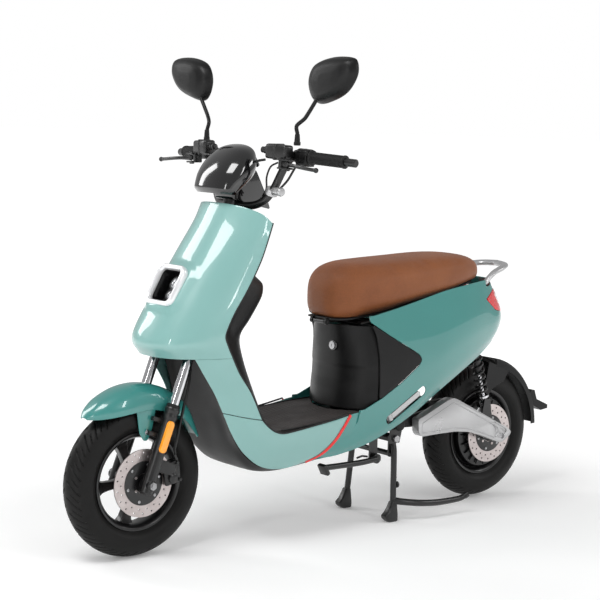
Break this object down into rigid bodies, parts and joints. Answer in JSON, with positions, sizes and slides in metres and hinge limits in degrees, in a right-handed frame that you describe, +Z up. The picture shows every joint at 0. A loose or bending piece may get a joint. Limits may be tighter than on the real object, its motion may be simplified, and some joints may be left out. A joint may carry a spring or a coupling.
{
  "type": "electric moped scooter",
  "caption": "Step-through electric moped scooter with a stepped seat, leg shield, hub motor, disc brakes and a centre stand.",
  "frame": {"origin": "on the ground, below the middle of the whole object's bounding box", "axes": "+Z up, -Y forward, +X the rider's left"},
  "size_m": [0.8124, 1.804, 1.3452],
  "materials": {
    "mint_paint": "gloss paint",
    "teal_paint": "gloss paint",
    "black_plastic": "grained",
    "gloss_black": "polished",
    "screen": "polished",
    "bezel": "satin silver",
    "lamp_glass": "clear",
    "mat": "ribbed",
    "tail_red": "clear red",
    "silver_alloy": "painted silver",
    "black_metal": "satin",
    "spring_steel": "gloss",
    "chrome": "polished",
    "zinc": "plated",
    "grip_rubber": "matt",
    "tyre": "moulded",
    "disc_steel": "ground",
    "mirror_glass": "silvered",
    "orange_button": "moulded",
    "red_button": "moulded",
    "seat_leather": "grained"
  },
  "bodies": {
    "chassis": {"main_frame": "black_metal", "front_cowl": "mint_paint", "headlight_bezel": "bezel", "headlight_housing": "black_plastic", "headlight_lenses": "lamp_glass", "inner_leg_shield": "black_plastic", "belly_pan": "black_plastic", "floor_mat": "mat", "floor_side_panels": "mint_paint", "under_seat_panel": "black_plastic", "side_covers": "black_plastic", "rear_panels": "teal_paint", "tail_light": "tail_red", "grab_rail": "silver_alloy", "battery": "black_plastic", "pivot_bolt": "zinc"},
    "lock_barrel": {"seat_lock": "zinc"},
    "steering": {"steering_stem": "black_metal", "fork_stanchions": "chrome", "handlebar": "black_metal", "instrument_pod": "gloss_black", "instrument_display": "screen", "left_grip": "grip_rubber", "switch_housings": "black_plastic", "brake_master_cylinders": "black_metal", "bar_hook": "silver_alloy"},
    "throttle": {"throttle_grip": "grip_rubber"},
    "lever_left": {"brake_lever_left": "black_metal"},
    "lever_right": {"brake_lever_right": "black_metal"},
    "mirror_arm_left": {"mirror_left": "black_plastic", "mirror_glass_left": "mirror_glass"},
    "mirror_arm_right": {"mirror_right": "black_plastic", "mirror_glass_right": "mirror_glass"},
    "horn_key": {"horn_button": "orange_button"},
    "power_key": {"power_button": "red_button"},
    "fork": {"fork_lowers": "black_metal", "front_axle": "zinc", "front_fender": "teal_paint", "front_caliper": "black_metal", "front_brake_hose": "grip_rubber"},
    "front_wheel": {"front_tyre": "tyre", "front_rim": "black_metal", "front_disc": "disc_steel"},
    "rear_arm": {"swingarm": "black_metal", "swingarm_covers": "silver_alloy", "rear_axle": "zinc", "rear_caliper": "black_metal", "rear_mudguard": "black_plastic"},
    "rear_wheel": {"rear_tyre": "tyre", "hub_motor": "black_metal", "rear_disc": "disc_steel"},
    "shock_upper": {"shock_bodies": "black_metal"},
    "shock_lower": {"shock_rods": "chrome", "shock_springs": "spring_steel"},
    "seat": {"seat_base": "black_plastic", "seat_cushion": "seat_leather"},
    "main_stand": {"centre_stand": "black_metal"},
    "kick_stand": {"side_stand": "black_metal"},
    "peg_left": {"footpeg_left": "silver_alloy"},
    "peg_right": {"footpeg_right": "silver_alloy"}
  },
  "joints": [
    {"name": "steering", "type": "hinge", "parent": "chassis", "child": "steering", "pos_m": [0, -0.66411, 0.208], "axis": [0, 0.3502, 0.9367], "range_deg": [-35, 35]},
    {"name": "fork_travel", "type": "slide", "parent": "steering", "child": "fork", "axis": [0, 0.3502, 0.9367], "range_m": [0, 0.06], "stiffness_N_per_m": 9000, "springref_m": -0.02},
    {"name": "front_wheel_spin", "type": "hinge", "parent": "fork", "child": "front_wheel", "pos_m": [0, -0.694, 0.208], "axis": [1, 0, 0], "continuous": true},
    {"name": "rear_arm_swing", "type": "hinge", "parent": "chassis", "child": "rear_arm", "pos_m": [0, 0.179, 0.288], "axis": [1, 0, 0], "range_deg": [0, 8], "stiffness_Nm_per_rad": 3000, "springref_deg": -1.72},
    {"name": "rear_wheel_spin", "type": "hinge", "parent": "rear_arm", "child": "rear_wheel", "pos_m": [0, 0.602, 0.215], "axis": [1, 0, 0], "continuous": true},
    {"name": "shock_swing", "type": "hinge", "parent": "chassis", "child": "shock_upper", "pos_m": [0, 0.507, 0.505], "axis": [1, 0, 0], "range_deg": [0, 3.54]},
    {"name": "shock_travel", "type": "slide", "parent": "shock_upper", "child": "shock_lower", "axis": [0, -0.3009, 0.9537], "range_m": [0, 0.05419], "deforming": ["shock_springs"]},
    {"name": "seat_hinge", "type": "hinge", "parent": "chassis", "child": "seat", "pos_m": [0, -0.054, 0.6], "axis": [1, 0, 0], "range_deg": [0, 72]},
    {"name": "seat_lock_turn", "type": "hinge", "parent": "chassis", "child": "lock_barrel", "pos_m": [0.026, -0.046, 0.53], "axis": [0, -1, 0], "range_deg": [0, 90]},
    {"name": "centre_stand_fold", "type": "hinge", "parent": "chassis", "child": "main_stand", "pos_m": [0, 0.174, 0.246], "axis": [1, 0, 0], "range_deg": [0, 70]},
    {"name": "side_stand_fold", "type": "hinge", "parent": "chassis", "child": "kick_stand", "pos_m": [0, 0.082, 0.2], "axis": [1, 0, 0], "range_deg": [0, 60], "stiffness_Nm_per_rad": 2, "springref_deg": -68.75},
    {"name": "footpeg_left_fold", "type": "hinge", "parent": "chassis", "child": "peg_left", "pos_m": [0.139, 0.106, 0.325], "axis": [0, -0.4879, 0.8729], "range_deg": [-90, 0]},
    {"name": "footpeg_right_fold", "type": "hinge", "parent": "chassis", "child": "peg_right", "pos_m": [-0.139, 0.106, 0.325], "axis": [0, -0.4879, 0.8729], "range_deg": [0, 90]},
    {"name": "brake_left", "type": "hinge", "parent": "steering", "child": "lever_left", "pos_m": [0.21627, -0.36511, 1.05992], "axis": [0.0517, 0.0082, 0.9986], "range_deg": [0, 18], "stiffness_Nm_per_rad": 1, "springref_deg": -20.05},
    {"name": "mirror_left_turn", "type": "hinge", "parent": "steering", "child": "mirror_arm_left", "pos_m": [0.203, -0.324, 1.11], "axis": [0, 0, 1], "range_deg": [-25, 25]},
    {"name": "brake_right", "type": "hinge", "parent": "steering", "child": "lever_right", "pos_m": [-0.21627, -0.36511, 1.05992], "axis": [0.0517, -0.0082, -0.9986], "range_deg": [0, 18], "stiffness_Nm_per_rad": 1, "springref_deg": -20.05},
    {"name": "mirror_right_turn", "type": "hinge", "parent": "steering", "child": "mirror_arm_right", "pos_m": [-0.203, -0.324, 1.11], "axis": [0, 0, 1], "range_deg": [-25, 25]},
    {"name": "throttle_turn", "type": "hinge", "parent": "steering", "child": "throttle", "pos_m": [-0.225, -0.305, 1.079], "axis": [-0.9863, 0.1562, -0.0523], "range_deg": [0, 70], "stiffness_Nm_per_rad": 0.15, "springref_deg": -28.65},
    {"name": "horn_press", "type": "slide", "parent": "steering", "child": "horn_key", "axis": [0.1564, -0.9877, 0], "range_m": [0, 0.003], "stiffness_N_per_m": 600, "springref_m": -0.001},
    {"name": "power_press", "type": "slide", "parent": "steering", "child": "power_key", "axis": [-0.1564, -0.9877, 0], "range_m": [0, 0.003], "stiffness_N_per_m": 600, "springref_m": -0.001}
  ],
  "couplings": [
    {"joint": "shock_swing", "follows": "rear_arm_swing", "ratio": 0.43398},
    {"joint": "shock_travel", "follows": "rear_arm_swing", "m_per_rad": 0.38049}
  ]
}
